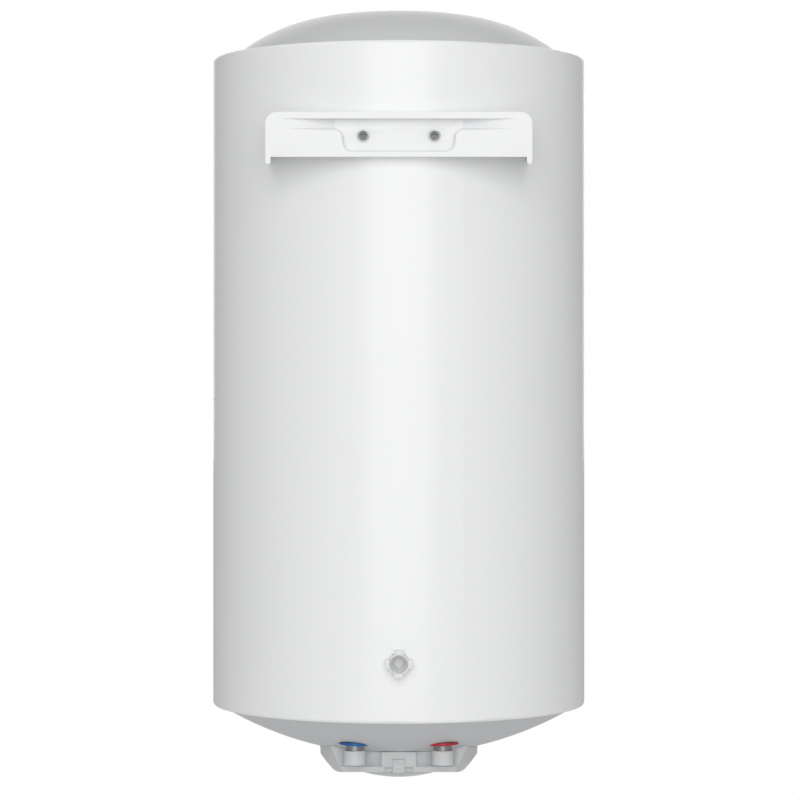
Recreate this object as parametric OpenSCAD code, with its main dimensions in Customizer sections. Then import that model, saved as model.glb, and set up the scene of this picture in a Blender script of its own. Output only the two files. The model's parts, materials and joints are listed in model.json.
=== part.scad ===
// Wall-hung electric tank water heater, round, with connections and controls at the bottom.
// The wall is the plane y = 0 and lies on the +Y side, +Z is up. The origin is the middle of
// the bracket edge that hangs on the wall hooks. Lengths are millimetres.
// Modules are written round the tank's axis with z = 0 at the casing's lower rim, and
// in_place() carries them to the wall frame.

/* [Casing] */
// Outside diameter of the sheet casing
casing_d = 445; // [420:1:560]
// Height of the casing between its two rims
casing_h = 771; // [600:1:1000]
// Thickness of the casing sheet
casing_t = 0.8; // [0.5:0.1:1.5]
// Rounding where the casing turns in at each end
edge_r = 4; // [2:0.5:8]
// Width of the flat turned-in rim at the top
top_rim_w = 22; // [15:1:40]
// Width of the flat turned-in rim at the bottom
bottom_rim_w = 9.5; // [8:0.5:20]
// Angle of the lengthwise seam from the middle of the wall side
seam_angle = 18.9; // [15:0.1:60]

/* [Caps] */
// Height of the top cap above the casing rim
crown_h = 52.5; // [40:0.5:80]
// Spherical radius of the middle of the top cap
crown_r = 1800; // [800:10:2400]
// Radius of the top cap's shoulder
shoulder_r = 210; // [180:5:240]
// Spherical radius of the bottom cap
dish_r = 412; // [330:5:600]
// Wall of the plastic caps
cap_t = 2.5; // [1.5:0.1:4]

/* [Tank] */
// Insulation between the casing and the tank
foam_t = 22.5; // [15:0.5:50]
// Insulation between the caps and the tank heads
foam_end_t = 22; // [15:0.5:40]
// Wall of the steel tank
tank_t = 2; // [1.5:0.1:3]
// Spherical radius of the tank heads
head_r = 350; // [300:5:500]

/* [Flange] */
// Outside radius of the flange ring and its plate
flange_r = 60; // [58:0.5:64]
// Radius of the hand hole inside the flange ring
hand_hole_r = 42; // [40:0.5:44]
// Thickness of the flange ring below the tank head
ring_h = 10; // [8:0.5:14]
// Thickness of the flange plate
plate_t = 3; // [2:0.5:5]
// Thickness of the gasket
gasket_t = 3; // [2:0.5:4]
// Radius of the circle of studs
stud_circle_r = 51; // [50:0.5:52]
// Number of studs
stud_count = 6; // [4:1:8]
// Radius of the stud shank
stud_r = 3; // [2.5:0.5:4]
// Radius of the service opening in the bottom cap
service_r = 66; // [65:0.5:68]

/* [Heating] */
// Radius of the heating element's tube
element_r = 4.2; // [3:0.1:5]
// Half the distance between the element's two legs
element_half = 26; // [22:0.5:28]
// Height of the element above the flange plate
element_h = 310; // [200:5:450]
// Outside radius of the thermostat pocket
pocket_r = 5; // [4.5:0.1:6]
// Height of the thermostat pocket above the flange plate
pocket_h = 270; // [150:5:400]
// Radius of the sacrificial anode
anode_r = 10.5; // [8:0.5:11]
// Length of the sacrificial anode
anode_l = 200; // [100:5:350]

/* [Connections] */
// Distance between the two water connections
pipe_spacing = 102; // [90:1:120]
// Distance of the connections behind the tank's axis
pipe_back = 126; // [125:1:140]
// Outside radius of the half-inch pipe thread
thread_r = 10.48; // [8:0.01:13.2]
// Pitch of the pipe thread
thread_pitch = 1.814; // [1:0.001:2.4]
// Depth of the pipe thread
thread_depth = 1.16; // [0.8:0.01:1.5]
// Thickness between the pipe thread's outside and the bore
nipple_t = 3; // [2.5:0.1:4]
// Length of the nipples below the bottom cap
nipple_l = 19.5; // [18:0.1:30]
// Width of the insulating collars round the thread
collar_w = 8; // [5:0.1:10]
// Wall of the thread caps
thread_cap_t = 1.8; // [1.2:0.1:3]
// Length of the thread caps
thread_cap_l = 17; // [12:0.1:20]
// Distance the thread caps travel down before they are off
thread_cap_travel = 16; // [10:1:25]
// Gap between the hot water standpipe and the bore of its nipple
standpipe_gap = 1.5; // [1:0.1:2]

/* [Bracket] */
// Width of the wall bracket
bracket_w = 299.5; // [240:0.5:360]
// Height of the bracket's wall plate
bracket_h = 50.5; // [45:0.5:70]
// Sheet thickness of the bracket
bracket_t = 2; // [1.5:0.1:3]
// Corner radius of the bracket's wall plate
bracket_r = 13; // [8:0.5:20]
// Distance of the hanging edge below the casing's upper rim
hang_drop = 133.2; // [100:0.1:250]
// Height of the flush strip below the pressed pan
strip_h = 7; // [5:0.5:10]
// Half width of the pan at its floor
pan_half = 54; // [50:0.5:80]
// Distance from the bracket's top to the lower edge of the trough over the wings
trough_low = 18.6; // [15:0.1:22]
// Distance from the bracket's top to the upper edge of the trough
trough_up = 7.4; // [6:0.1:10]
// Distance of the trough's ends from the bracket's ends
trough_end = 18; // [10:0.5:30]
// Gap between the casing and the wall
wall_gap = 14; // [12:0.5:25]
// Distance between the two bracket screws
screw_spacing = 80; // [60:1:100]
// Height of the bracket screws above the hanging edge
screw_up = 25; // [20:0.5:30]
// Shank radius of the bracket screws
screw_r = 4; // [3:0.5:5]

/* [Spacer] */
// Height of the wall spacer's axis above the casing's lower rim
spacer_h = 68.5; // [50:0.1:200]
// Outside radius of the spacer tube
spacer_r = 11.9; // [9:0.1:13]
// Wall of the spacer tube at its mouth
spacer_t = 1.6; // [1.2:0.1:3]
// Radius reached by the spacer's four ribs
spacer_rib_r = 15.1; // [14.5:0.1:20]
// Width of each rib
spacer_rib_w = 10.4; // [6:0.1:12]
// Depth of the spacer's tapering socket
spacer_depth = 24; // [18:0.5:33]
// Radius of the socket's floor
spacer_floor_r = 4.7; // [3:0.1:8]

/* [Service cover] */
// Half width of the cover where it meets the bottom cap
cover_half = 93.5; // [90:0.5:100]
// Wall of the cover
cover_t = 2.5; // [2:0.1:3]
// Depth of the cover's flat bottom below the bottom cap
cover_drop = 19.5; // [18:0.1:26]
// Height of the cover's sloping sides
cover_slope_h = 20.8; // [15:0.1:23]
// Slope of the cover's sides from the horizontal
cover_slope = 48; // [40:1:60]
// Rounding between the slope and the flat bottom
cover_round = 15; // [6:0.5:15]
// Distance of the cover's rear band behind the tank's axis
cover_back = 104; // [100:0.5:110]
// Depth that the wall above the band is set back
band_step = 6; // [3:0.5:8]
// Radius of the domed boss round the knob
boss_r = 52.5; // [50:0.5:54]
// Spherical radius of the boss and the knob's face
boss_dome_r = 160.8; // [140:0.1:200]

/* [Controls] */
// Radius of the control knob
knob_r = 27; // [20:0.5:30]
// Gap round the knob and above it
knob_gap = 0.8; // [0.5:0.1:1.5]
// Radius of the thermostat spindle
spindle_r = 3; // [2.5:0.1:4]
// Running clearance of the spindle, the button and the latch pin
run_gap = 0.06; // [0.02:0.01:0.1]
// Radius of the reset button
button_r = 3; // [2:0.1:4]
// Travel of the reset button
button_travel = 1.5; // [1:0.1:2]
// Radius of the indicator lens
lens_r = 4; // [3:0.1:5]
// Radius of the opening in the cord gland
gland_bore_r = 3.5; // [3:0.1:4.5]
// Width of the latch tongue
latch_w = 13.6; // [10:0.1:16]

/* [Hidden] */
$fn = 96;
big_fn = 240;
over = 1;
fit = 0.2;

casing_r = casing_d / 2;
seam_w = 1.2;
seam_depth = 0.5;
wall_y = casing_r + wall_gap;
hang_h = casing_h - hang_drop;
top_open_r = casing_r - top_rim_w;
bottom_open_r = casing_r - bottom_rim_w;

// Top cap: the crown's arc and the shoulder's arc meet tangentially, and the shoulder
// passes through the edge of the rim opening.
cap_edge_r = top_open_r - 0.5;
crown_c = [0, crown_h - crown_r];
crown_to_edge = [cap_edge_r, 0] - crown_c;
crown_span = norm(crown_to_edge);
arc_gap = crown_r - shoulder_r;
along = (arc_gap * arc_gap - shoulder_r * shoulder_r + crown_span * crown_span)
    / (2 * crown_span);
across = sqrt(arc_gap * arc_gap - along * along);
crown_dir = crown_to_edge / crown_span;
shoulder_c = crown_c + along * crown_dir + across * [-crown_dir[1], crown_dir[0]];
crown_tilt = asin(shoulder_c[0] / arc_gap);

// Bottom cap: a spherical dish through the edge of the lower rim opening.
dish_edge_r = bottom_open_r - 0.4;
dish_c = sqrt(dish_r * dish_r - dish_edge_r * dish_edge_r);
dish_low = dish_c - dish_r;
function dish_z(r) = dish_c - sqrt(dish_r * dish_r - r * r);
cover_bottom = dish_low - cover_drop;
cover_knee = cover_bottom + cover_slope_h;

// Tank: a rolled shell between two dished heads.
tank_r = casing_r - casing_t - foam_t;
head_sag = head_r - sqrt(head_r * head_r - tank_r * tank_r);
tank_low = dish_low + cap_t + foam_end_t;
tank_high = casing_h + crown_h - cap_t - foam_end_t;
shell_low = tank_low + head_sag;
shell_high = tank_high - head_sag;
head_c = tank_low + head_r;
function head_z(r) = head_c - sqrt(head_r * head_r - r * r);

// Flange stack, downwards from the tank's lowest point.
ring_low = tank_low - ring_h;
plate_top = ring_low - gasket_t;
plate_low = plate_top - plate_t;
washer_t = 1.2;
washer_low = plate_low - washer_t;
nut_h = 5;
nut_low = washer_low - nut_h;
stud_low = nut_low - 3;

// Places on the flange plate.
element_y = -10;
pocket_y = 16;
anode_y = -29;
anode_stud_r = 2.5;

// Thermostat, standing on the plate's underside and reaching down to the knob.
thermostat_w = 40;
thermostat_front = -9;
thermostat_back = 33;
boss_rise = boss_dome_r - sqrt(boss_dome_r * boss_dome_r - boss_r * boss_r);
boss_low = cover_bottom - boss_rise;
boss_c = boss_low + boss_dome_r;
knob_roof = boss_low + 9;
thermostat_low = cover_bottom + cover_t + 2.4;
thermostat_high = plate_low - 2.3;
rod_r = pocket_r - 1.5;
button_x = 8;
button_z = (thermostat_low + thermostat_high) / 2;

pipe_x = pipe_spacing / 2;
pipe_axis_r = norm([pipe_x, pipe_back]);
nipple_end = dish_z(pipe_axis_r) - nipple_l;
nipple_bore_r = thread_r - nipple_t;
standpipe_r = nipple_bore_r - standpipe_gap;
collar_r = thread_r + collar_w;
thread_cap_r = thread_r + run_gap + thread_cap_t;
collar_tilt = 2;
collar_low = dish_z(pipe_axis_r) + 1.8;
collar_h = 3.3;
collar_taper = 7;
thread_cap_low = nipple_end - 2.4;
thread_cap_top = thread_cap_low + thread_cap_l;

bracket_low = hang_h;
bracket_high = hang_h + bracket_h;
flange_drop = 8;
flange_tip_r = 3;
flange_slope = 6.5;
pan_floor = wall_y - wall_gap + 0.6;
pan_low = hang_h + strip_h;
pan_high = hang_h + bracket_h - trough_low;
trough_high = hang_h + bracket_h - trough_up;
screw_z = hang_h + screw_up;

cover_top = dish_low + 22;
corner_in = 28.8;
corner_lean = 24.1;
corner_turn = 75.3;
wall_back = cover_back - band_step;
notch_r = pipe_back - wall_back + 4;
band_top = cover_bottom + 15.6;
slope_start = 35;
rear_set_in = 0.02;
rear_edge = cover_bottom + 9.2;
corner_at = [cover_half - corner_in, cover_back, rear_edge];
post_x = 70;
post_y = -26;
gland_at = [-43, -43];
lens_y = -60;
earth_at = [-34, 8];
earth_stud_r = 2;
block_y = 74;
block_low = cover_bottom + 12.6;
block_pitch = 11;
tab_t = 0.8;
wire_r = 1.2;
wire_gap = 0.15;
latch_pivot = [cover_back + 0.2, cover_bottom + 23];
latch_low = rear_edge - 0.4;
latch_pin_r = 1.2;
window_top = cover_bottom + 15.4;
window_out = 16.6;
recess_back = cover_back - 7;
latch_t = 2.5;

module in_place() {
    translate([0, -wall_y, -hang_h]) children();
}

module mirrored_x() {
    children();
    mirror([1, 0, 0]) children();
}

module tube(outer, inner, low, high) {
    translate([0, 0, low]) difference() {
        cylinder(r = outer, h = high - low);
        translate([0, 0, -over]) cylinder(r = inner, h = high - low + 2 * over);
    }
}

// A rod along +Y from the given start.
module rod_y(r, from, to) {
    translate([0, from, 0]) rotate([-90, 0, 0]) cylinder(r = r, h = to - from);
}

module hex_nut(across_flats, hole, low, h) {
    translate([0, 0, low]) difference() {
        cylinder(r = across_flats / 2 / cos(30), h = h, $fn = 6);
        translate([0, 0, -over]) cylinder(r = hole, h = h + 2 * over);
    }
}

module at_studs() {
    for (i = [0 : stud_count - 1])
        rotate([0, 0, (i + 0.5) * 360 / stud_count])
            translate([stud_circle_r, 0, 0])
                children();
}

// Half section of the casing, set in from its outside by the given amount.
module casing_section(inset) {
    r = casing_r - inset;
    corner = edge_r - inset;
    translate([0, inset]) square([r - corner, casing_h - 2 * inset]);
    translate([0, edge_r]) square([r, casing_h - 2 * edge_r]);
    for (z = [edge_r, casing_h - edge_r])
        translate([casing_r - edge_r, z]) circle(r = corner);
}

// Points along an arc, from one angle to another.
function arc(c, r, a0, a1, steps) =
    [for (i = [0 : steps]) let(a = a0 + (a1 - a0) * i / steps) c + r * [cos(a), sin(a)]];

// Half section under the top cap's outside, set in by the given amount.
module crown_section(inset) {
    polygon(concat(
        [[0, 0]],
        arc(crown_c, crown_r - inset, 90, 90 - crown_tilt * 0.9, 6),
        arc(shoulder_c, shoulder_r - inset, 90 - crown_tilt,
            asin(-shoulder_c[1] / (shoulder_r - inset)), 30)
    ));
}

// Half section above the bottom cap's outside and below the lower rim.
module dish_section(inset) {
    intersection() {
        translate([0, dish_c]) circle(r = dish_r - inset, $fn = 2 * big_fn);
        translate([0, dish_low]) square([dish_edge_r, -dish_low]);
    }
}

module dish_ball(extra) {
    translate([0, 0, dish_c]) sphere(r = dish_r + extra, $fn = big_fn);
}

module head_ball(extra) {
    translate([0, 0, head_c]) sphere(r = head_r + extra, $fn = big_fn);
}

module outer_casing() {
    color("#f4f5f6") in_place() difference() {
        rotate_extrude($fn = big_fn) difference() {
            casing_section(0);
            casing_section(casing_t);
            translate([0, casing_h - edge_r]) square([top_open_r, 2 * edge_r]);
            translate([0, -edge_r]) square([bottom_open_r, 2 * edge_r]);
        }
        rotate([0, 0, 90 + seam_angle])
            translate([casing_r - seam_depth, -seam_w / 2, -over])
                cube([over, seam_w, casing_h + 2 * over]);
        for (x = [-screw_spacing / 2, screw_spacing / 2])
            translate([x, 0, screw_z]) rod_y(9.4, casing_r / 2, wall_y);
        translate([0, 0, spacer_h]) rod_y(spacer_r + fit, casing_r / 2, wall_y);
    }
}

module top_cap() {
    lip_high = -casing_t;
    lip_low = lip_high - cap_t;
    color("#d6d8da") in_place() translate([0, 0, casing_h]) rotate_extrude($fn = big_fn) {
        difference() {
            crown_section(0);
            crown_section(cap_t);
        }
        translate([cap_edge_r - cap_t, lip_low]) square([cap_t, -lip_low]);
        translate([cap_edge_r - cap_t, lip_low]) square([cap_t / 2, 1 - lip_low]);
        translate([cap_edge_r - cap_t, lip_low]) square([12, cap_t]);
    }
}

module bottom_cap() {
    lip_low = casing_t;
    lip_high = lip_low + cap_t;
    color("#c6c9cb") in_place() difference() {
        union() {
            rotate_extrude($fn = big_fn) {
                difference() {
                    dish_section(0);
                    dish_section(cap_t);
                    translate([0, dish_low - over]) square([service_r, -dish_low + over]);
                }
                translate([dish_edge_r - 4.8, 0]) square([4.8, lip_high]);
                translate([dish_edge_r - 4.8, lip_low]) square([8, cap_t]);
            }
            cover_boss_posts();
        }
        mirrored_x() translate([pipe_x, pipe_back, dish_low]) cylinder(r = thread_r + fit, h = 60);
        mirrored_x() translate([post_x, post_y, dish_low - over]) cylinder(r = 2, h = 30);
    }
}

// Screw posts on the inside of the bottom cap, for the cover.
module cover_boss_posts() {
    mirrored_x() difference() {
        translate([post_x, post_y, dish_low]) cylinder(r = 4.5, h = 22);
        difference() {
            translate([post_x - 10, post_y - 10, dish_low - over]) cube([20, 20, 22]);
            dish_ball(-cap_t / 2);
        }
    }
}

module foam_insulation() {
    color("#e8dcae") in_place() difference() {
        rotate_extrude($fn = big_fn) difference() {
            union() {
                intersection() {
                    casing_section(casing_t + fit);
                    translate([0, casing_t + cap_t + fit])
                        square([casing_r, casing_h - 2 * (casing_t + cap_t + fit)]);
                }
                translate([0, casing_h]) crown_section(cap_t + fit);
                translate([0, casing_h - 6]) square([cap_edge_r - cap_t - fit, 6]);
                dish_section(cap_t + fit);
                square([dish_edge_r - 5, 8]);
            }
            tank_section(fit);
            translate([0, dish_low]) square([service_r + 0.5, -dish_low + 8]);
        }
        mirrored_x() translate([pipe_x, pipe_back, dish_low]) cylinder(r = thread_r + 3 * fit, h = 60);
        mirrored_x() translate([post_x, post_y, dish_low]) cylinder(r = 5, h = 26);
        translate([0, 0, spacer_h]) rod_y(spacer_r + 0.5, tank_r - 4, wall_y);
        anchor_space();
    }
}

// Half section of the closed tank's outside, grown by the given amount.
module tank_section(extra) {
    translate([0, shell_low]) square([tank_r + extra, shell_high - shell_low]);
    intersection() {
        translate([0, head_c]) circle(r = head_r + extra, $fn = 2 * big_fn);
        translate([0, tank_low - extra]) square([tank_r + extra, head_sag + extra]);
    }
    intersection() {
        translate([0, tank_high - head_r]) circle(r = head_r + extra, $fn = 2 * big_fn);
        translate([0, shell_high]) square([tank_r + extra, head_sag + extra]);
    }
}

module tank_shell() {
    color("#3f5f8a") in_place() tube(tank_r, tank_r - tank_t, shell_low, shell_high, $fn = big_fn);
}

module head_shell() {
    rotate_extrude($fn = big_fn) intersection() {
        difference() {
            translate([0, head_r]) circle(r = head_r, $fn = 2 * big_fn);
            translate([0, head_r]) circle(r = head_r - tank_t, $fn = 2 * big_fn);
        }
        square([tank_r, head_sag]);
    }
}

module tank_top_head() {
    color("#3f5f8a") in_place() translate([0, 0, tank_high]) mirror([0, 0, 1]) head_shell();
}

module tank_bottom_head() {
    color("#3f5f8a") in_place() difference() {
        translate([0, 0, tank_low]) head_shell();
        translate([0, 0, tank_low - over]) cylinder(r = hand_hole_r, h = 20);
        mirrored_x() translate([pipe_x, pipe_back, tank_low]) cylinder(r = thread_r, h = 80);
    }
}

module flange_ring() {
    color("#3f5f8a") in_place() difference() {
        tube(flange_r, hand_hole_r, ring_low, tank_low + 12);
        head_ball(0);
        at_studs() translate([0, 0, ring_low - over]) cylinder(r = stud_r, h = ring_h);
    }
}

module flange_studs() {
    color("#b7bbbf") in_place() at_studs()
        translate([0, 0, stud_low]) cylinder(r = stud_r, h = ring_low + ring_h - over - stud_low);
}

module flange_gasket() {
    color("#2a2a2a") in_place() tube(stud_circle_r - stud_r - 1, hand_hole_r + 0.5, plate_top, ring_low);
}

module flange_plate() {
    color("#b7bbbf") in_place() difference() {
        translate([0, 0, plate_low]) cylinder(r = flange_r, h = plate_t);
        at_studs() translate([0, 0, plate_low - over]) cylinder(r = stud_r + fit, h = 3 * plate_t);
        mirrored_x() plate_hole(element_half, element_y, element_r);
        plate_hole(0, pocket_y, pocket_r);
        plate_hole(0, anode_y, anode_stud_r);
        plate_hole(earth_at[0], earth_at[1], earth_stud_r);
    }
}

module plate_hole(x, y, r) {
    translate([x, y, plate_low - over]) cylinder(r = r, h = plate_t + 2 * over);
}

module flange_washers() {
    color("#c9ccd0") in_place() at_studs() tube(2 * stud_r, stud_r + fit, washer_low, plate_low);
}

module flange_nuts() {
    color("#b7bbbf") in_place() at_studs() hex_nut(10, stud_r, nut_low, nut_h);
}

module heating_element() {
    bend_z = plate_low + element_h - element_half;
    color("#a6724a") in_place() translate([0, element_y, 0]) {
        for (x = [-element_half, element_half])
            translate([x, 0, plate_low - 4]) cylinder(r = element_r, h = bend_z - plate_low + 4);
        translate([0, 0, bend_z]) rotate([90, 0, 0])
            rotate_extrude(angle = 180) translate([element_half, 0]) circle(r = element_r, $fn = 32);
    }
}

module element_terminals() {
    top = plate_low - 4;
    color("#e6e6e2") in_place() for (x = [-element_half, element_half]) translate([x, element_y, 0]) {
        translate([0, 0, top - 3]) cylinder(r = 3.4, h = 3);
        translate([-3.1, -tab_t / 2, top - 10]) cube([6.2, tab_t, 7]);
    }
}

module thermostat_pocket() {
    top = plate_top + pocket_h;
    color("#b06f3a") in_place() translate([0, pocket_y, 0]) {
        tube(pocket_r, pocket_r - 1, plate_low, top);
        translate([0, 0, top]) difference() {
            sphere(r = pocket_r);
            sphere(r = pocket_r - 1);
            translate([-10, -10, -20]) cube(20);
        }
    }
}

module anode_rod() {
    color("#9a9c9c") in_place() translate([0, anode_y, plate_top + 6]) difference() {
        cylinder(r = anode_r, h = anode_l);
        translate([0, 0, -over]) cylinder(r = anode_stud_r, h = 20 + over);
    }
}

module anode_stud() {
    color("#b7bbbf") in_place() translate([0, anode_y, plate_low - 6.5])
        cylinder(r = anode_stud_r, h = plate_t + 6.5 + 6 + 20);
}

module anode_nut() {
    color("#b7bbbf") in_place() translate([0, anode_y, 0]) hex_nut(8, anode_stud_r, plate_low - 4, 4);
}

module thermostat() {
    depth = thermostat_back - thermostat_front;
    color("#e3e1d6") in_place() difference() {
        union() {
            translate([-thermostat_w / 2, thermostat_front, thermostat_low])
                cube([thermostat_w, depth, thermostat_high - thermostat_low]);
            translate([0, pocket_y, thermostat_high - over])
                cylinder(r = 8, h = plate_low - thermostat_high + over);
            translate([0, pocket_y, thermostat_high])
                cylinder(r = rod_r, h = plate_top + pocket_h - thermostat_high - 4);
        }
        translate([0, 0, thermostat_low - over]) cylinder(r = spindle_r + run_gap, h = 9 + over);
        translate([button_x, 0, button_z])
            rod_y(button_r + run_gap, thermostat_front - over, thermostat_front + 3.2 + button_travel);
    }
}

module thermostat_spindle() {
    color("#c9b36a") in_place() difference() {
        translate([0, 0, knob_roof - 4.4]) cylinder(r = spindle_r, h = thermostat_low + 8 - knob_roof + 4.4);
        translate([spindle_r - 1, -5, knob_roof - 5]) cube([5, 10, 5 - knob_gap]);
    }
}

module reset_button() {
    color("#c8201c") in_place() translate([button_x, 0, button_z])
        rod_y(button_r, thermostat_front - 3, thermostat_front + 3);
}

// Pipe nipple with ring-cut threads on its lower end.
module nipple(top) {
    turns = floor((dish_z(pipe_axis_r) - 4 - nipple_end) / thread_pitch);
    difference() {
        translate([0, 0, nipple_end]) cylinder(r = thread_r, h = top - nipple_end);
        translate([0, 0, nipple_end - over]) cylinder(r = nipple_bore_r, h = top - nipple_end + 2 * over);
        for (i = [0 : turns - 1])
            translate([0, 0, nipple_end + (i + 0.5) * thread_pitch]) thread_groove();
    }
}

module thread_groove() {
    rotate_extrude() polygon([
        [thread_r - thread_depth, 0],
        [thread_r + 0.2, thread_pitch * 0.48],
        [thread_r + 0.2, -thread_pitch * 0.48]
    ]);
}

module cold_inlet_pipe() {
    color("#8f9499") in_place() translate([pipe_x, pipe_back, 0]) nipple(head_z(pipe_axis_r) + 14);
}

module inlet_diffuser() {
    low = head_z(pipe_axis_r) + 14;
    color("#e9e9e4") in_place() translate([pipe_x, pipe_back, 0]) difference() {
        translate([0, 0, low]) cylinder(r = thread_r + 2, h = 26);
        translate([0, 0, low - over]) cylinder(r = nipple_bore_r, h = 24 + over);
        for (turn = [0 : 45 : 135])
            rotate([0, 0, turn]) translate([-15, -1.5, low + 6]) cube([30, 3, 14]);
    }
}

module hot_outlet_pipe() {
    color("#8f9499") in_place() translate([-pipe_x, pipe_back, 0]) nipple(head_z(pipe_axis_r) + 14);
}

module hot_standpipe() {
    low = head_z(pipe_axis_r) + 2;
    high = tank_high - head_sag - 6;
    color("#b9bdc1") in_place() translate([-pipe_x, pipe_back, 0]) {
        tube(standpipe_r, standpipe_r - 1, low, high);
        tube(nipple_bore_r, standpipe_r, low, low + 10);
    }
}

// Insulating collar: a wedge-shaped disc against the bottom cap, thickest on the wall side.
module collar() {
    difference() {
        translate([pipe_x, pipe_back, collar_low]) rotate([0, -collar_tilt, 0]) difference() {
            cylinder(r = collar_r, h = collar_h);
            translate([-50, collar_r, collar_h]) rotate([collar_taper, 0, 0])
                translate([0, -100, 0]) cube([100, 100, 20]);
        }
        dish_ball(0);
        translate([pipe_x, pipe_back, nipple_end]) cylinder(r = thread_r, h = 80);
    }
}

module cold_collar() {
    color("#1f6fb5") in_place() collar();
}

module hot_collar() {
    color("#d23a45") in_place() mirror([1, 0, 0]) collar();
}

module thread_cap() {
    difference() {
        translate([0, 0, thread_cap_low]) cylinder(r = thread_cap_r, h = thread_cap_l);
        translate([0, 0, nipple_end - 0.4]) cylinder(r = thread_r + run_gap, h = 40);
    }
}

module cold_thread_cap() {
    color("#dfe1e3") in_place() translate([pipe_x, pipe_back, 0]) thread_cap();
}

module hot_thread_cap() {
    color("#dfe1e3") in_place() translate([-pipe_x, pipe_back, 0]) thread_cap();
}

// Space that the foam leaves for the anchor's strap and bosses.
module anchor_space() {
    intersection() {
        translate([-75, 0, screw_z - 25.5]) cube([150, wall_y, 51]);
        tube(tank_r + 3.4, tank_r - 1, screw_z - 26, screw_z + 26);
    }
    for (x = [-screw_spacing / 2, screw_spacing / 2])
        translate([x, 0, screw_z]) rod_y(9.4, tank_r * 0.9, wall_y);
}

// Curved strap welded to the tank shell, with one threaded boss for each bracket screw.
module bracket_anchor() {
    color("#6f7478") in_place() difference() {
        union() {
            intersection() {
                translate([-72, 0, screw_z - 24]) cube([144, wall_y, 48]);
                tube(tank_r + 3, tank_r - 5, screw_z - 25, screw_z + 25, $fn = big_fn);
            }
            for (x = [-screw_spacing / 2, screw_spacing / 2])
                translate([x, 0, screw_z]) rod_y(9, tank_r * 0.9, pan_floor - 0.2);
        }
        translate([0, 0, screw_z - 30]) cylinder(r = tank_r, h = 60, $fn = big_fn);
        for (x = [-screw_spacing / 2, screw_spacing / 2])
            translate([x, 0, screw_z]) rod_y(screw_r, tank_r * 0.9, wall_y);
    }
}

// Front outline of the bracket in the wall plane, set in by the given amount.
module bracket_outline(inset) {
    half = bracket_w / 2 - inset;
    top = bracket_high - inset;
    low = hang_h - flange_drop;
    r = bracket_r - inset;
    tip_r = flange_tip_r - inset;
    translate([-half, low + tip_r]) square([2 * half, top - r - low - tip_r]);
    translate([-half + r, low + tip_r]) square([2 * (half - r), top - low - tip_r]);
    for (side = [-1, 1]) {
        translate([side * (half - r), top - r]) circle(r = r);
        translate([side * (half - tip_r), low + tip_r]) circle(r = tip_r);
    }
}

// Right half of the pan's outline: an S-shaped side between the strip and the trough.
function pan_side(inset) =
    let(r = 10, x = pan_half - inset)
    concat(
        [[0, pan_low + inset]],
        arc([x - 2, pan_low + r], r - inset, -90, -8, 6),
        arc([x + 18.5, pan_high - r], r + inset, 188, 90, 6),
        [[x + 18.5, trough_high - inset], [0, trough_high - inset]]
    );

module pan_outline(inset) {
    polygon(pan_side(inset));
    mirror([1, 0]) polygon(pan_side(inset));
}

// Trough over the two wings, as deep as the pan in the middle and running out at its ends.
module trough(inset) {
    half = bracket_w / 2 - trough_end - inset;
    deep = pan_half + 16 - inset;
    back = inset < 0 ? bracket_t : 0;
    end_y = wall_y - back;
    floor_y = pan_floor + bracket_t - back;
    translate([0, 0, pan_high + inset])
        linear_extrude(height = trough_high - pan_high - 2 * inset)
            polygon([[-half, wall_y + over], [-half, end_y], [-deep, floor_y],
                [deep, floor_y], [half, end_y], [half, wall_y + over]]);
}

// Extrudes an outline drawn in X and Z, between two distances from the tank's axis.
module along_y(from, to) {
    translate([0, to, 0]) rotate([90, 0, 0]) linear_extrude(height = to - from) children();
}

module wall_bracket() {
    depth = wall_y - sqrt(casing_r * casing_r - bracket_w * bracket_w / 4) + 3;
    inner_face = wall_y - bracket_t;
    color("#f4f5f6") in_place() difference() {
        union() {
            difference() {
                along_y(wall_y - depth, wall_y) bracket_outline(0);
                along_y(wall_y - depth - over, inner_face) bracket_outline(bracket_t);
                // Opens the underside of the hood.
                translate([-bracket_w / 2 + bracket_t, wall_y - depth - over, hang_h - 2 * flange_drop])
                    cube([bracket_w - 2 * bracket_t, depth - bracket_t + over, 3 * flange_drop]);
                // Lower edge of the wall plate, between the tips of the two side flanges.
                translate([-bracket_w / 2 + 2 * flange_tip_r, inner_face - over, hang_h - 2 * flange_drop])
                    cube([bracket_w - 4 * flange_tip_r, bracket_t + 2 * over, 2 * flange_drop]);
                // The flanges' lower edges rise towards the casing.
                translate([-bracket_w, inner_face, hang_h - flange_drop]) rotate([-flange_slope, 0, 0])
                    translate([0, -depth, -20]) cube([2 * bracket_w, depth, 20]);
            }
            along_y(pan_floor, inner_face + over / 2) pan_outline(-bracket_t);
            intersection() {
                trough(-bracket_t);
                along_y(pan_floor, wall_y) bracket_outline(0);
            }
        }
        along_y(pan_floor + bracket_t, wall_y + over) pan_outline(0);
        trough(0);
        for (x = [-screw_spacing / 2, screw_spacing / 2])
            translate([x, 0, screw_z]) rod_y(screw_r + 0.3, pan_floor - over, wall_y);
        translate([0, 0, hang_h - 20]) cylinder(r = casing_r + 0.1, h = 100, $fn = big_fn);
    }
}

module bracket_washers() {
    low = pan_floor + bracket_t;
    color("#d0d3d6") in_place() for (x = [-screw_spacing / 2, screw_spacing / 2])
        translate([x, 0, screw_z]) difference() {
            rod_y(7, low, low + 1.2);
            rod_y(screw_r + 0.3, low - over, low + 3);
        }
}

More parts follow.
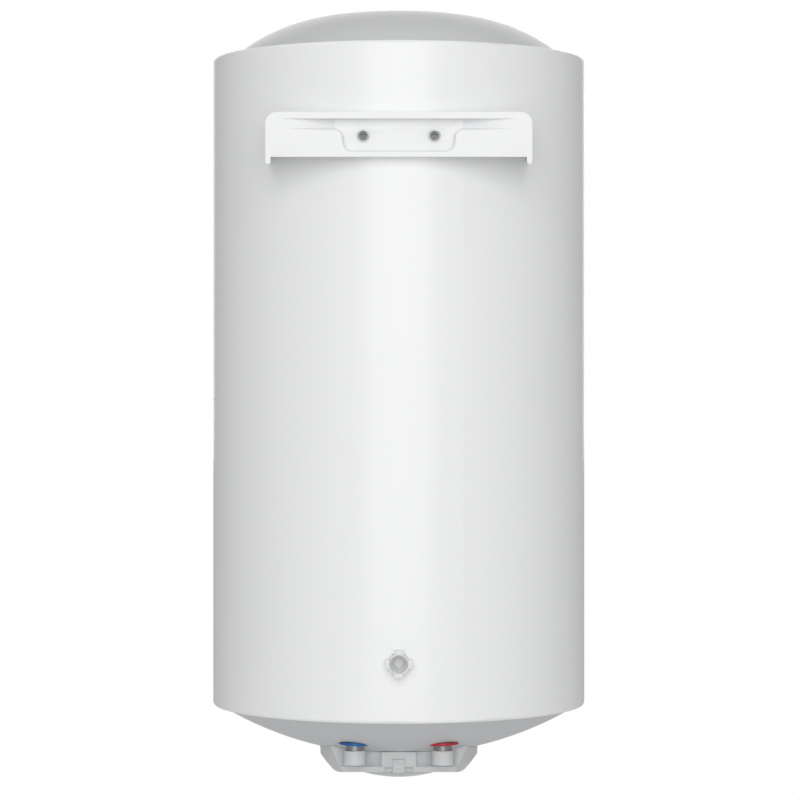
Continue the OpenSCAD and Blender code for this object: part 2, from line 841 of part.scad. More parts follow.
module bracket_screws() {
    seat = pan_floor + bracket_t + 1.2;
    color("#aeb3b7") in_place() for (x = [-screw_spacing / 2, screw_spacing / 2])
        translate([x, 0, screw_z]) difference() {
            union() {
                rod_y(screw_r, tank_r + 1, seat + over);
                rod_y(5.2, seat, seat + 3.4);
            }
            translate([-0.7, seat + 1.4, -3.2]) cube([1.4, 4, 6.4]);
            translate([-3.2, seat + 1.4, -0.7]) cube([6.4, 4, 1.4]);
        }
}

module wall_spacer() {
    floor_y = wall_y - spacer_depth;
    color("#eceef0") in_place() difference() {
        translate([0, 0, spacer_h]) union() {
            rod_y(spacer_r, floor_y - 2, wall_y);
            difference() {
                for (turn = [0 : 90 : 270])
                    rotate([0, turn, 0])
                        translate([-spacer_rib_w / 2, casing_r - 4, 0])
                            cube([spacer_rib_w, wall_gap + 4, spacer_rib_r]);
                translate([0, 0, -30]) cylinder(r = casing_r, h = 60, $fn = big_fn);
            }
        }
        translate([0, floor_y, spacer_h]) rotate([-90, 0, 0])
            cylinder(r1 = spacer_floor_r, r2 = spacer_r - spacer_t, h = spacer_depth + 0.01);
    }
}

// Half section of the cover across its width, set in by the given amount.
function cover_profile(inset) =
    let(c_z = cover_bottom + cover_round,
        c_x = cover_half + (cos(cover_slope) * (c_z - cover_knee) - cover_round) / sin(cover_slope),
        knee = cover_knee + inset * tan((90 - cover_slope) / 2))
    concat(
        [[0, cover_top], [cover_half - inset, cover_top], [cover_half - inset, knee]],
        arc([c_x, c_z], cover_round - inset, cover_slope - 90, -90, 6),
        [[0, cover_bottom + inset]]
    );

// The cover's cross-section, extruded along Y.
module cover_run(from, to, inset) {
    along_y(from, to) union() {
        polygon(cover_profile(inset));
        mirror([1, 0]) polygon(cover_profile(inset));
    }
}

// Outside volume of the cover, set in by the given amount.
module cover_volume(inset) {
    rise = atan2(rear_edge - cover_bottom, cover_back - slope_start);
    difference() {
        union() {
            rotate([0, 0, 180]) rotate_extrude(angle = 180) polygon(cover_profile(inset));
            cover_run(0, slope_start, inset);
            // The rear of the cover rises towards the wall.
            intersection() {
                translate([0, slope_start, cover_bottom]) rotate([rise, 0, 0])
                    translate([0, 0, -cover_bottom]) cover_run(0, cover_back, inset + rear_set_in);
                translate([-100, 0, cover_bottom - over]) cube([200, cover_back - inset, 100]);
            }
        }
        // Slanted facets at the two rear corners.
        mirrored_x() translate(corner_at)
            rotate([0, corner_lean, 0]) rotate([0, 0, -corner_turn])
                translate([-20, -inset, -60]) cube([160, 60, 120]);
    }
}

module latch_slot() {
    half = latch_w / 2 + 0.25;
    high = latch_pivot[1] + latch_pin_r + 0.3;
    translate([-half, recess_back, rear_edge - 9]) cube([2 * half, 20, high - rear_edge + 9]);
    translate([-window_out, recess_back, rear_edge - 9])
        cube([2 * window_out, 20, window_top - rear_edge + 9]);
}

module service_cover() {
    color("#d3d6d8") in_place() difference() {
        union() {
            difference() {
                union() {
                    difference() {
                        cover_volume(0);
                        // The wall above the band is set back, and scooped out round the pipes.
                        translate([-100, wall_back, band_top]) cube([200, 20, 60]);
                        mirrored_x() translate([pipe_x, pipe_back, band_top + 2])
                            cylinder(r = notch_r, h = 60);
                    }
                    translate([-20, wall_back - 1, band_top - 0.6]) cube([40, band_step + 3, 17.8]);
                    intersection() {
                        translate([0, 0, boss_c]) sphere(r = boss_dome_r, $fn = big_fn);
                        translate([0, 0, cover_bottom - 12]) cylinder(r = boss_r, h = 14);
                    }
                }
                difference() {
                    cover_volume(cover_t);
                    translate([-100, wall_back - cover_t, cover_bottom]) cube([200, 20, 100]);
                    mirrored_x() translate([pipe_x, pipe_back, cover_bottom])
                        cylinder(r = notch_r + cover_t, h = 100);
                }
            }
            mirrored_x() translate([post_x, post_y, cover_bottom + 8]) cylinder(r = 6.5, h = 40);
        }
        dish_ball(fit);
        translate([0, 0, boss_low - over]) cylinder(r = knob_r + knob_gap, h = knob_roof - boss_low + over);
        translate([0, 0, boss_low]) cylinder(r = spindle_r + 3, h = 20);
        mirrored_x() translate([post_x, post_y, cover_bottom - over]) cylinder(r = 2.4, h = 40);
        mirrored_x() translate([post_x, post_y, cover_bottom - over]) cylinder(r = 4.6, h = 16.4);
        translate([gland_at[0], gland_at[1], cover_bottom - over]) cylinder(r = gland_bore_r + 1.6, h = 6);
        translate([0, lens_y, cover_bottom - over]) cylinder(r = lens_r, h = 6);
        latch_slot();
        translate([-latch_w / 2 - 2.2, latch_pivot[0], latch_pivot[1]]) rotate([0, 90, 0])
            cylinder(r = latch_pin_r + run_gap, h = latch_w + 4.4, $fn = 32);
    }
}

module cover_screws() {
    seat = cover_bottom + 15.4;
    color("#aeb3b7") in_place() mirrored_x() translate([post_x, post_y, 0]) difference() {
        union() {
            translate([0, 0, seat - 2.6]) cylinder(r = 3.8, h = 2.6);
            translate([0, 0, seat - 0.5]) cylinder(r = 2, h = 26);
        }
        translate([-2.4, -0.5, seat - 2.7]) cube([4.8, 1, 1.4]);
        translate([-0.5, -2.4, seat - 2.7]) cube([1, 4.8, 1.4]);
    }
}

// Finger latch in the middle of the rear wall, turning on its own pin.
module cover_latch() {
    y = latch_pivot[0];
    z = latch_pivot[1];
    color("#dcdee0") in_place() {
        translate([-latch_w / 2, y - latch_t / 2, latch_low]) cube([latch_w, latch_t, z - latch_low]);
        translate([-latch_w / 2 - 2, y, z]) rotate([0, 90, 0])
            cylinder(r = latch_pin_r, h = latch_w + 4, $fn = 32);
        for (ridge = [latch_low + 3.6, latch_low + 10.1])
            translate([-latch_w / 2 + 2, y + latch_t / 2 - 0.4, ridge]) cube([latch_w - 4, 1.2, 1]);
    }
}

module cord_gland() {
    wall_low = cover_bottom;
    wall_high = cover_bottom + cover_t;
    color("#4a4c4e") in_place() translate([gland_at[0], gland_at[1], 0]) difference() {
        union() {
            translate([0, 0, wall_low - 2]) cylinder(r = gland_bore_r + 3.5, h = 2);
            translate([0, 0, wall_low - 1]) cylinder(r = gland_bore_r + 1.6, h = cover_t + 2);
            translate([0, 0, wall_high]) cylinder(r = gland_bore_r + 3.5, h = 2);
        }
        translate([0, 0, wall_low - 3]) cylinder(r = gland_bore_r, h = 12);
    }
}

module terminal_block() {
    color("#e6e4dc") in_place() difference() {
        translate([-17, block_y, block_low]) cube([34, 14, 20]);
        dish_ball(0);
        for (x = [-block_pitch, 0, block_pitch])
            translate([x, block_y + 7, block_low - over]) cylinder(r = 2.4, h = 5 + over);
    }
}

module terminal_screws() {
    color("#c9b36a") in_place() for (x = [-block_pitch, 0, block_pitch])
        translate([x, block_y + 7, block_low + 2]) difference() {
            cylinder(r = 2.3, h = 3);
            translate([-3, -0.4, -over]) cube([6, 0.8, 1 + over]);
        }
}

module earth_stud() {
    color("#c9b36a") in_place() translate([earth_at[0], earth_at[1], plate_low - 8])
        cylinder(r = earth_stud_r, h = plate_t + 8);
}

module earth_nut() {
    color("#c9b36a") in_place() translate([earth_at[0], earth_at[1], 0])
        hex_nut(7, earth_stud_r, plate_low - 3.2, 3.2);
}

module lamp_holder() {
    high = cover_bottom + cover_t + 14;
    color("#e6e4dc") in_place() translate([0, lens_y, 0])
        tube(lens_r + 1.4, lens_r, cover_bottom + cover_t, high);
}

module indicator_lens() {
    color("#e0702a") in_place() translate([0, lens_y, 0]) {
        translate([0, 0, cover_bottom - 0.4]) cylinder(r = lens_r, h = cover_t + 6);
        translate([0, 0, cover_bottom - 0.4]) difference() {
            translate([0, 0, lens_r * 0.75]) sphere(r = lens_r * 1.25);
            translate([-10, -10, 0]) cube(20);
        }
    }
}

// Round knob with its face on the same sphere as the boss, and a finger bar between hollows.
module control_knob() {
    roof = knob_roof - knob_gap;
    color("#e4e6e8") in_place() difference() {
        intersection() {
            translate([0, 0, boss_c]) sphere(r = boss_dome_r, $fn = big_fn);
            translate([0, 0, boss_low - over]) cylinder(r = knob_r, h = roof - boss_low + over);
        }
        for (side = [-1, 1])
            translate([side * (knob_r - 7.5), 0, boss_low - 16.5]) rotate([90, 0, 0])
                intersection() {
                    translate([0, 0, -18]) cylinder(r = 20, h = 36);
                    translate([-14.5, 0, -30]) cube([29, 60, 60]);
                }
        translate([0, 0, knob_roof - 4.4]) cylinder(r = spindle_r, h = 10);
        translate([-0.8, knob_r - 15, boss_low - over]) cube([1.6, 12, 2.4]);
    }
}

// Point on a smooth curve through the given points; t counts from one point to the next.
function curve_point(p, i, t) =
    let(a = p[max(i - 1, 0)], b = p[i], c = p[i + 1], d = p[min(i + 2, len(p) - 1)])
    0.5 * (2 * b + t * (c - a) + t * t * (2 * a - 5 * b + 4 * c - d)
        + t * t * t * (3 * b - a - 3 * c + d));

function curve(p, steps) =
    [for (i = [0 : len(p) - 2]) for (k = [0 : steps - 1]) curve_point(p, i, k / steps), p[len(p) - 1]];

function unit(v) = v / norm(v);

// Ring of points round one place on the curve.
function ring(p, i, r, sides) =
    let(t = unit(p[min(i + 1, len(p) - 1)] - p[max(i - 1, 0)]),
        u = unit(cross(t, [0.31, 0.17, 1])),
        v = cross(t, u))
    [for (k = [0 : sides - 1]) p[i] + r * (cos(360 * k / sides) * u + sin(360 * k / sides) * v)];

// One insulated wire along its route.
module wire(route, r) {
    sides = 8;
    p = curve(route, 5);
    last = (len(p) - 1) * sides;
    polyhedron(
        points = [for (i = [0 : len(p) - 1]) each ring(p, i, r, sides)],
        faces = [
            [for (k = [0 : sides - 1]) k],
            for (i = [0 : len(p) - 2]) for (k = [0 : sides - 1])
                [i * sides + k, (i + 1) * sides + k,
                    (i + 1) * sides + (k + 1) % sides, i * sides + (k + 1) % sides],
            [for (k = [sides - 1 : -1 : 0]) last + k]
        ]
    );
}

// Routes of the wires inside the service cover, from the terminal block. Each starts and
// ends square to the part it meets. Heights count from the cover's flat bottom.
wire_start = [0, block_y - wire_gap, 17.6];
wire_lead = [0, block_y - 4, 17.2];
supply_end = [-thermostat_w / 2 - wire_gap, 20, 11.6];
supply_route = [
    wire_start - [block_pitch, 0, 0], wire_lead - [block_pitch, 0, 0], [-14, 62, 16.6],
    [-25, 44, 12.6], [-28, 26, 11.6], supply_end - [5, 0, 0], supply_end
];
element_end = [element_half, element_y + tab_t / 2 + wire_gap, plate_low - 10.5 - cover_bottom];
element_route = [
    wire_start + [block_pitch, 0, 0], wire_lead + [block_pitch, 0, 0], [14, 62, 16.6],
    [27, 42, 11.6], [33, 14, 11.6], element_end + [4, 10, -3], element_end + [0, 5, 0], element_end
];
earth_end = [earth_at[0], earth_at[1] + earth_stud_r + wire_gap, plate_low - 6.5 - cover_bottom];
earth_route = [
    wire_start, wire_lead, [-5, 62, 12.6], [-28, 50, 7.6], [-40, 28, 10.6],
    earth_end + [-1, 7, -4], earth_end + [0, 3, 0], earth_end
];

module internal_wires() {
    color("#8a5a2b") in_place() translate([0, 0, cover_bottom])
        for (route = [supply_route, element_route, earth_route])
            wire(route, wire_r);
}

outer_casing();
top_cap();
bottom_cap();
foam_insulation();
tank_shell();
tank_top_head();
tank_bottom_head();
flange_ring();
flange_studs();
flange_gasket();
flange_plate();
flange_washers();
flange_nuts();
heating_element();
element_terminals();
thermostat_pocket();
anode_rod();
anode_stud();
anode_nut();
thermostat();
thermostat_spindle();
reset_button();
cold_inlet_pipe();
inlet_diffuser();
hot_outlet_pipe();
hot_standpipe();
cold_collar();
hot_collar();
cold_thread_cap();
hot_thread_cap();
bracket_anchor();
wall_bracket();
bracket_washers();
bracket_screws();
wall_spacer();
service_cover();
cover_screws();
cover_latch();
cord_gland();
terminal_block();
terminal_screws();
earth_stud();
earth_nut();
lamp_holder();
indicator_lens();
control_knob();
internal_wires();
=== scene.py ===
"""Wall-hung tank water heater: its finishes and finer shapes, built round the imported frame."""
import json
import logging
import math
from dataclasses import dataclass, field
from enum import Enum
from typing import Callable, Union

import bmesh
import bpy
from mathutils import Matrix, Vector

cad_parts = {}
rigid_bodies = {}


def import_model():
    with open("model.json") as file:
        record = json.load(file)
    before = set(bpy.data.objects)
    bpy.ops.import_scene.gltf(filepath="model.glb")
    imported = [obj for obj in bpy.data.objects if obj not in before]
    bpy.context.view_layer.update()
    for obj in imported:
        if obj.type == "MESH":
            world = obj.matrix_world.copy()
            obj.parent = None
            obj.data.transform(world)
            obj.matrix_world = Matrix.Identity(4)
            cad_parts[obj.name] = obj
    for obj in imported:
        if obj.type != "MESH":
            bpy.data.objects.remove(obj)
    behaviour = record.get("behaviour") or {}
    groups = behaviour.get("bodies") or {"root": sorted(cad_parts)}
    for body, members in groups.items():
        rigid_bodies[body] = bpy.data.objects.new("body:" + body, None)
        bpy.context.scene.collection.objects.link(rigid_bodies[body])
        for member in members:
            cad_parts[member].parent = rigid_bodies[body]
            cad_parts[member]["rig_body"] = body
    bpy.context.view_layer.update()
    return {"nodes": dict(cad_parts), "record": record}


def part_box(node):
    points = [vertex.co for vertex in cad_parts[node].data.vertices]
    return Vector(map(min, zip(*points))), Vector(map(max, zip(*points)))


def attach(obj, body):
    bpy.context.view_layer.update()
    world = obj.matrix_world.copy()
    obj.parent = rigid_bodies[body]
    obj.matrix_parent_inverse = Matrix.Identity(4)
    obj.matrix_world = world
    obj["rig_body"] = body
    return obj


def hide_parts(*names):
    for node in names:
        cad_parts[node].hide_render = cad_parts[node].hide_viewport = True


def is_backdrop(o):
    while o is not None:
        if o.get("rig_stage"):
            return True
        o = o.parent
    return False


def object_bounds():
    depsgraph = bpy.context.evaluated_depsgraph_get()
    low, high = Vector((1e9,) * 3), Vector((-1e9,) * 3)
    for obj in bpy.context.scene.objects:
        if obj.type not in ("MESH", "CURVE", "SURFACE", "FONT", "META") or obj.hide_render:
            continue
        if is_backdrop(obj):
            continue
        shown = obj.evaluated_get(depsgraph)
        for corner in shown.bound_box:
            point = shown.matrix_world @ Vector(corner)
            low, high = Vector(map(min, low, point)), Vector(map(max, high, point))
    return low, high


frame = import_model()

log = logging.getLogger("water_heater")
MM = 0.001


# ---------------------------------------------------------------- shader arithmetic


class Signal:
    """A number that varies over a surface, usable in Python arithmetic."""

    def __init__(self, graph: "Graph", socket: bpy.types.NodeSocket) -> None:
        """Wraps an output socket of the given graph."""
        self.graph = graph
        self.socket = socket

    def _math(self, operation: str, first: "Number", second: "Number") -> "Signal":
        """Adds one Math node that combines two numbers."""
        return self.graph.signal("ShaderNodeMath", {"operation": operation}, {0: first, 1: second})

    def __add__(self, other: "Number") -> "Signal":
        """Sum."""
        return self._math("ADD", self, other)

    __radd__ = __add__

    def __sub__(self, other: "Number") -> "Signal":
        """Difference."""
        return self._math("SUBTRACT", self, other)

    def __rsub__(self, other: "Number") -> "Signal":
        """Difference with this signal taken away."""
        return self._math("SUBTRACT", other, self)

    def __mul__(self, other: "Number") -> "Signal":
        """Product."""
        return self._math("MULTIPLY", self, other)

    __rmul__ = __mul__


Number = Union[float, Signal]


class Graph:
    """The node tree of one material."""

    def __init__(self, name: str) -> None:
        """Starts a material with that name and its main shader."""
        self.material = bpy.data.materials.new(name)
        self.material.use_nodes = True
        self.tree = self.material.node_tree
        self.shader = self.tree.nodes["Principled BSDF"]
        self._places: bpy.types.NodeSocket | None = None

    def node(self, kind: str, settings: dict, inputs: dict) -> bpy.types.Node:
        """Adds a node.

        Args:
            kind: the node's type.
            settings: its properties.
            inputs: values, sockets or signals by input name or number.

        Returns:
            The new node.
        """
        made = self.tree.nodes.new(kind)
        for key, value in settings.items():
            setattr(made, key, value)
        for key, value in inputs.items():
            self._feed(made.inputs[key], value)
        return made

    def _feed(self, target: bpy.types.NodeSocket, value: object) -> None:
        """Links a socket or signal to an input, or sets its value."""
        if isinstance(value, Signal):
            value = value.socket
        if isinstance(value, bpy.types.NodeSocket):
            self.tree.links.new(value, target)
        else:
            target.default_value = value

    def signal(self, kind: str, settings: dict, inputs: dict) -> Signal:
        """Adds a node and wraps its first output."""
        return Signal(self, self.node(kind, settings, inputs).outputs[0])

    def places(self) -> bpy.types.NodeSocket:
        """The Object coordinates, in metres."""
        if self._places is None:
            self._places = self.node("ShaderNodeTexCoord", {}, {}).outputs["Object"]
        return self._places

    def stretched(self, scale: tuple[float, float, float]) -> bpy.types.NodeSocket:
        """The Object coordinates with a scale of their own along each axis."""
        return self.node(
            "ShaderNodeMapping", {}, {"Vector": self.places(), "Scale": scale}
        ).outputs[0]

    def noise(self, scale: float, detail: float = 3.0, where: object = None) -> Signal:
        """Smooth noise from 0 to 1; scale is the number of waves in a metre."""
        made = self.node(
            "ShaderNodeTexNoise",
            {},
            {"Vector": where or self.places(), "Scale": scale, "Detail": detail},
        )
        return Signal(self, made.outputs["Fac"])

    def cells(self, scale: float) -> Signal:
        """Distance to the nearest cell centre, with that many cells in a metre."""
        made = self.node("ShaderNodeTexVoronoi", {}, {"Vector": self.places(), "Scale": scale})
        return Signal(self, made.outputs["Distance"])

    def blend(self, amount: Number, first: tuple, second: tuple) -> bpy.types.NodeSocket:
        """Mixes two colours by an amount from 0 to 1."""
        made = self.node("ShaderNodeMix", {"data_type": "RGBA"}, {"Factor": amount})
        made.inputs[6].default_value = (*first, 1.0)
        made.inputs[7].default_value = (*second, 1.0)
        return made.outputs[2]

    def relief(self, height: Signal, depth: float, strength: float = 1.0) -> None:
        """Adds surface relief of that depth in metres."""
        bump = self.node(
            "ShaderNodeBump", {}, {"Height": height, "Distance": depth, "Strength": strength}
        )
        self.tree.links.new(bump.outputs[0], self.shader.inputs["Normal"])

    def set(self, **values: object) -> None:
        """Sets or feeds inputs of the main shader; an underscore stands for a space."""
        for key, value in values.items():
            self._feed(self.shader.inputs[key.replace("_", " ")], value)


def shade(colour: tuple, factor: float) -> tuple[float, float, float]:
    """The colour made lighter or darker by a factor."""
    return tuple(min(1.0, channel * factor) for channel in colour)


# ---------------------------------------------------------------- finishes


@dataclass(frozen=True)
class StovedEnamel:
    """White paint stoved onto steel sheet: a faint orange peel under a satin gloss."""

    name: str = "stoved_enamel"
    colour: tuple = (0.90, 0.905, 0.91)
    peel_waves: float = 420.0
    peel_depth: float = 0.00004

    def material(self) -> bpy.types.Material:
        """Builds the material."""
        g = Graph(self.name)
        cloud = g.noise(4.0, 2.0)
        fine = g.noise(self.peel_waves, 2.0)
        g.set(
            Base_Color=g.blend(cloud, shade(self.colour, 0.985), shade(self.colour, 1.01)),
            Roughness=0.34 + 0.08 * fine + 0.05 * cloud,
            Coat_Weight=0.25,
            Coat_Roughness=0.18,
        )
        g.relief(fine, self.peel_depth, 0.5)
        return g.material


@dataclass(frozen=True)
class MouldedPlastic:
    """Injection-moulded plastic with a spark-eroded grain."""

    name: str
    colour: tuple
    roughness: float = 0.42
    grain_waves: float = 1400.0
    grain_depth: float = 0.00003
    milky: float = 0.0

    def material(self) -> bpy.types.Material:
        """Builds the material."""
        g = Graph(self.name)
        cloud = g.noise(9.0, 3.0)
        grain = g.noise(self.grain_waves, 2.0)
        pits = g.cells(self.grain_waves * 0.7)
        g.set(
            Base_Color=g.blend(cloud, shade(self.colour, 0.97), shade(self.colour, 1.02)),
            Roughness=self.roughness + 0.12 * (grain - 0.5) + 0.05 * cloud,
            Specular_IOR_Level=0.45,
            Subsurface_Weight=self.milky,
            Subsurface_Scale=0.004,
        )
        g.relief(grain * 0.6 + pits * 0.4, self.grain_depth, 0.5)
        return g.material


class Streak(Enum):
    """Direction of the fine marks that turning or rolling leaves on metal."""

    NONE = (1.0, 1.0, 1.0)
    LEVEL = (0.06, 0.06, 1.0)
    UPRIGHT = (1.0, 1.0, 0.05)


@dataclass(frozen=True)
class Metal:
    """Bare or plated metal with fine streaks and slight stains."""

    name: str
    colour: tuple
    roughness: float
    streak: Streak = Streak.NONE
    stain: float = 0.12

    def material(self) -> bpy.types.Material:
        """Builds the material."""
        g = Graph(self.name)
        marks = g.noise(900.0, 3.0, g.stretched(self.streak.value))
        stains = g.noise(60.0, 4.0)
        g.set(
            Base_Color=g.blend(stains, shade(self.colour, 1.0 - self.stain), shade(self.colour, 1.08)),
            Metallic=1.0,
            Roughness=self.roughness + 0.16 * (marks - 0.5) + 0.12 * (stains - 0.5),
        )
        g.relief(marks, 0.00002, 0.5)
        return g.material


@dataclass(frozen=True)
class Rubber:
    """Matt moulded rubber with a dusty bloom."""

    name: str
    colour: tuple

    def material(self) -> bpy.types.Material:
        """Builds the material."""
        g = Graph(self.name)
        bloom = g.noise(120.0, 4.0)
        g.set(
            Base_Color=g.blend(bloom, self.colour, tuple(c + 0.03 for c in self.colour)),
            Roughness=0.72 + 0.15 * (bloom - 0.5),
        )
        g.relief(g.noise(900.0, 2.0), 0.00004, 0.5)
        return g.material


@dataclass(frozen=True)
class CellularFoam:
    """Rigid poured foam with open cut cells."""

    name: str = "cellular_foam"
    colour: tuple = (0.84, 0.72, 0.42)

    def material(self) -> bpy.types.Material:
        """Builds the material."""
        g = Graph(self.name)
        cells = g.cells(520.0)
        cloud = g.noise(25.0, 3.0)
        g.set(
            Base_Color=g.blend(cells * 0.7 + cloud * 0.3, shade(self.colour, 0.78), self.colour),
            Roughness=0.9,
        )
        g.relief(cells, 0.0006, 0.6)
        return g.material


@dataclass(frozen=True)
class GlassEnamel:
    """Blue glass enamel fused to the tank's steel."""

    name: str = "glass_enamel"
    colour: tuple = (0.03, 0.09, 0.24)

    def material(self) -> bpy.types.Material:
        """Builds the material."""
        g = Graph(self.name)
        speck = g.noise(700.0, 4.0)
        g.set(
            Base_Color=g.blend(speck, shade(self.colour, 0.7), shade(self.colour, 1.5)),
            Roughness=0.16 + 0.1 * speck,
            Coat_Weight=0.6,
            Coat_Roughness=0.08,
        )
        g.relief(g.noise(180.0, 3.0), 0.00008, 0.5)
        return g.material


@dataclass(frozen=True)
class TintedLens:
    """Tinted clear plastic over an unlit lamp, with moulded rings inside."""

    name: str = "tinted_lens"
    colour: tuple = (0.80, 0.20, 0.03)

    def material(self) -> bpy.types.Material:
        """Builds the material."""
        g = Graph(self.name)
        depth = g.noise(350.0, 2.0)
        g.set(
            Base_Color=g.blend(depth, shade(self.colour, 0.6), self.colour),
            Roughness=0.12 + 0.05 * depth,
            Coat_Weight=0.8,
            Coat_Roughness=0.04,
        )
        g.relief(g.cells(900.0), 0.00005, 0.4)
        return g.material


FINISHES = {
    "casing_paint": StovedEnamel(),
    # The bracket wears the casing's white enamel painted darker: painted shade that holds down the
    # full key light on its forward plate.
    "bracket_paint": StovedEnamel("bracket_paint", (0.85, 0.855, 0.86)),
    "cap_plastic": MouldedPlastic("cap_plastic", (0.62, 0.625, 0.63)),
    "base_plastic": MouldedPlastic("base_plastic", (0.60, 0.61, 0.62)),
    "cover_plastic": MouldedPlastic("cover_plastic", (0.66, 0.67, 0.675), 0.38),
    "natural_plastic": MouldedPlastic("natural_plastic", (0.80, 0.805, 0.81), 0.36, milky=0.1),
    "thermostat_plastic": MouldedPlastic("thermostat_plastic", (0.78, 0.74, 0.62)),
    "blue_plastic": MouldedPlastic("blue_plastic", (0.010, 0.13, 0.37), 0.34),
    "red_plastic": MouldedPlastic("red_plastic", (0.50, 0.022, 0.045), 0.34),
    "red_button": MouldedPlastic("red_button", (0.65, 0.02, 0.02), 0.2),
    "ceramic_white": MouldedPlastic("ceramic_white", (0.82, 0.81, 0.77), 0.6),
    "plated_steel": Metal("plated_steel", (0.36, 0.365, 0.37), 0.34, Streak.LEVEL),
    "dark_steel": Metal("dark_steel", (0.13, 0.132, 0.136), 0.36, Streak.LEVEL, 0.2),
    "raw_steel": Metal("raw_steel", (0.36, 0.365, 0.375), 0.42, Streak.LEVEL, 0.2),
    "brass": Metal("brass", (0.76, 0.57, 0.25), 0.3, Streak.UPRIGHT),
    "copper": Metal("copper", (0.70, 0.38, 0.22), 0.36, Streak.UPRIGHT, 0.3),
    "magnesium": Metal("magnesium", (0.50, 0.51, 0.51), 0.55, Streak.UPRIGHT, 0.2),
    "gasket_rubber": Rubber("gasket_rubber", (0.02, 0.02, 0.02)),
    "grey_rubber": Rubber("grey_rubber", (0.07, 0.07, 0.075)),
    "wire_brown": Rubber("wire_brown", (0.20, 0.085, 0.03)),
    "foam": CellularFoam(),
    "tank_enamel": GlassEnamel(),
    "lamp_orange": TintedLens(),
}


class Wardrobe:
    """Makes each finish once and puts it on nodes and pieces."""

    def __init__(self, record: dict) -> None:
        """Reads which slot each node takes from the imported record."""
        self.slots = {s["node"]: s["material_slot"] for s in record["subparts"]}
        self._made: dict[str, bpy.types.Material] = {}

    def material(self, slot: str) -> bpy.types.Material:
        """The material of a slot."""
        if slot not in self._made:
            self._made[slot] = FINISHES[slot].material()
        return self._made[slot]

    def dress(self, obj: bpy.types.Object, slot: str) -> None:
        """Puts one slot's finish all over an object."""
        obj.data.materials.clear()
        obj.data.materials.append(self.material(slot))

    def dress_node(self, node: str) -> None:
        """Puts the record's finish on a CAD node that stays in view."""
        made = self.material(self.slots[node])
        for holder in frame["nodes"][node].material_slots:
            holder.material = made


# ---------------------------------------------------------------- modelling by hand


def leave_edit() -> None:
    """Back to object mode with nothing selected."""
    if bpy.context.object and bpy.context.object.mode != "OBJECT":
        bpy.ops.object.mode_set(mode="OBJECT")
    bpy.ops.object.select_all(action="DESELECT")


def edit(obj: bpy.types.Object) -> None:
    """Opens one object in edit mode with everything selected."""
    leave_edit()
    bpy.context.view_layer.objects.active = obj
    obj.select_set(True)
    bpy.ops.object.mode_set(mode="EDIT")
    bpy.ops.mesh.select_mode(type="VERT")
    bpy.ops.mesh.select_all(action="SELECT")


def pick(obj: bpy.types.Object, chosen: Callable[[bmesh.types.BMEdge], bool]) -> int:
    """Selects the edges of the object in edit mode that a test chooses.

    Args:
        obj: the object in edit mode.
        chosen: says of an edge whether it is taken.

    Returns:
        How many edges are selected.
    """
    bpy.ops.mesh.select_all(action="DESELECT")
    bpy.ops.mesh.select_mode(type="EDGE")
    mesh = bmesh.from_edit_mesh(obj.data)
    count = 0
    for edge in mesh.edges:
        take = chosen(edge)
        edge.select_set(take)
        count += take
    bmesh.update_edit_mesh(obj.data)
    return count


def apply_modifier(obj: bpy.types.Object, kind: str, **settings: object) -> None:
    """Adds a modifier, sets it and applies it."""
    leave_edit()
    bpy.context.view_layer.objects.active = obj
    obj.select_set(True)
    made = obj.modifiers.new(kind.lower(), kind)
    for key, value in settings.items():
        setattr(made, key, value)
    bpy.ops.object.modifier_apply(modifier=made.name)


def finish_piece(obj: bpy.types.Object, smooth_degrees: float = 32.0) -> None:
    """Brings the object to the origin and smooths its shading by angle."""
    leave_edit()
    bpy.context.view_layer.objects.active = obj
    obj.select_set(True)
    bpy.ops.object.transform_apply(location=True, rotation=True, scale=True)
    bpy.ops.object.shade_smooth_by_angle(angle=math.radians(smooth_degrees))


def lathe(
    name: str, centre: Vector, along: Vector, profile: list[tuple[float, float]], steps: int
) -> bpy.types.Object:
    """Turns an open profile about an axis square to X.

    Args:
        name: the piece's name.
        centre: the point on the axis from which the profile's lengths count.
        along: unit direction of the axis.
        profile: radius and length along the axis of each corner.
        steps: number of steps in the full turn.

    Returns:
        The turned object, with its doubles merged and its faces outwards.
    """
    leave_edit()
    bpy.ops.mesh.primitive_plane_add(size=MM, location=centre)
    obj = bpy.context.object
    obj.name = name
    edit(obj)
    bpy.ops.mesh.merge(type="CENTER")
    corners = [Vector((radius, 0, 0)) + length * along for radius, length in profile]
    bpy.ops.transform.translate(value=corners[0])
    for here, there in zip(corners, corners[1:]):
        bpy.ops.mesh.extrude_region_move(TRANSFORM_OT_translate={"value": there - here})
    bpy.ops.mesh.select_all(action="SELECT")
    bpy.ops.mesh.spin(steps=steps, angle=2 * math.pi, center=centre, axis=along)
    bpy.ops.mesh.select_all(action="SELECT")
    bpy.ops.mesh.remove_doubles(threshold=0.01 * MM)
    bpy.ops.mesh.normals_make_consistent(inside=False)
    leave_edit()
    return obj


def turned_corner(
    radius: float, length: float, round_r: float, start: float, count: int = 5
) -> list[tuple[float, float]]:
    """Points of a quarter round in a lathe profile.

    Args:
        radius: radius at the round's centre.
        length: length along the axis at the round's centre.
        round_r: radius of the round.
        start: angle of the first point in degrees; the round turns on by 90.
        count: number of points.

    Returns:
        Radius and length of each point.
    """
    points = []
    for step in range(count):
        angle = math.radians(start + 90 * step / (count - 1))
        points.append((radius + round_r * math.cos(angle), length + round_r * math.sin(angle)))
    return points


